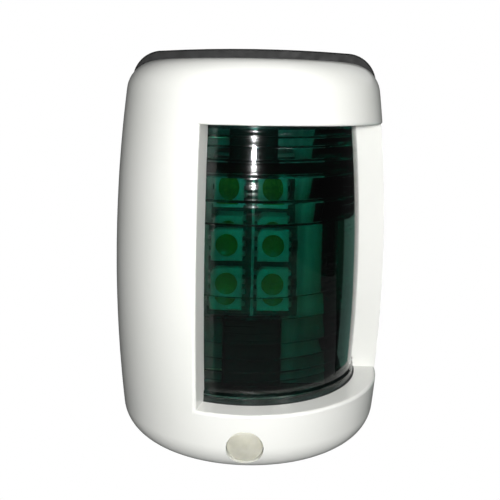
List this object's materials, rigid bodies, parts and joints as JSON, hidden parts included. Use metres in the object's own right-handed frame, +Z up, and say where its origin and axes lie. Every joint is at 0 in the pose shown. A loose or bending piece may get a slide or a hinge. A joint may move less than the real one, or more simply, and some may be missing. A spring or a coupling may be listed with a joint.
{
  "type": "navigation light",
  "caption": "Starboard side-mount navigation light: white half-barrel housing, green lens with inner prisms, LED strips on a base plate, capped cover screw.",
  "frame": {"origin": "centre of the wall face at the back of the gasket, level with the middle of the housing's height", "axes": "+Z up, +Y into the wall, -Y out from the wall, +X forward to the bow"},
  "size_m": [0.0444, 0.0273, 0.0629],
  "materials": {
    "gasket_rubber": "matt closed-cell foam",
    "base_plastic": "fine satin moulding",
    "seal_rubber": "smooth",
    "brass": "turned",
    "grommet_rubber": "smooth",
    "reflector_white": "gloss",
    "post_plastic": "satin",
    "screw_steel": "stainless",
    "contact_strip": "tinned spring strip",
    "carrier_aluminium": "anodised",
    "circuit_board": "dark solder mask",
    "led_body": "white moulded package",
    "led_phosphor": "yellow gel",
    "solder": "bright",
    "resistor_black": "satin",
    "housing_white": "gloss, moulded",
    "lens_green": "clear tinted polycarbonate",
    "cap_plastic": "translucent, satin"
  },
  "bodies": {
    "base": {"wall_gasket": "gasket_rubber", "base_plate": "base_plastic", "base_seal": "seal_rubber", "threaded_insert": "brass", "cable_grommet": "grommet_rubber", "reflector_plate": "reflector_white", "upper_post": "post_plastic", "lower_post": "post_plastic", "post_screws": "screw_steel", "upper_contact": "contact_strip", "lower_contact": "contact_strip", "upper_terminal": "brass", "lower_terminal": "brass", "led_carrier": "carrier_aluminium", "left_led_strip": "circuit_board", "right_led_strip": "circuit_board", "led_packages": "led_body", "led_emitters": "led_phosphor", "solder_joints": "solder", "resistors": "resistor_black"},
    "cover": {"housing": "housing_white", "lens": "lens_green"},
    "washer": {"screw_seal": "seal_rubber"},
    "screw": {"cover_screw": "screw_steel"},
    "cap": {"screw_cap": "cap_plastic"}
  },
  "joints": [
    {"name": "cover_pull_off", "type": "slide", "parent": "base", "child": "cover", "axis": [0, -1, 0], "range_m": [0, 0.03]},
    {"name": "screw_back_out", "type": "slide", "parent": "cover", "child": "washer", "axis": [0, -1, 0], "range_m": [0, 0.005]},
    {"name": "screw_turn", "type": "hinge", "parent": "washer", "child": "screw", "pos_m": [0, -0.01, -0.0261], "axis": [0, -1, 0], "range_deg": [0, 3600]},
    {"name": "cap_pull_out", "type": "slide", "parent": "cover", "child": "cap", "axis": [0, -1, 0], "range_m": [0, 0.012]}
  ],
  "couplings": [
    {"joint": "screw_turn", "follows": "screw_back_out", "rad_per_m": 12566}
  ]
}
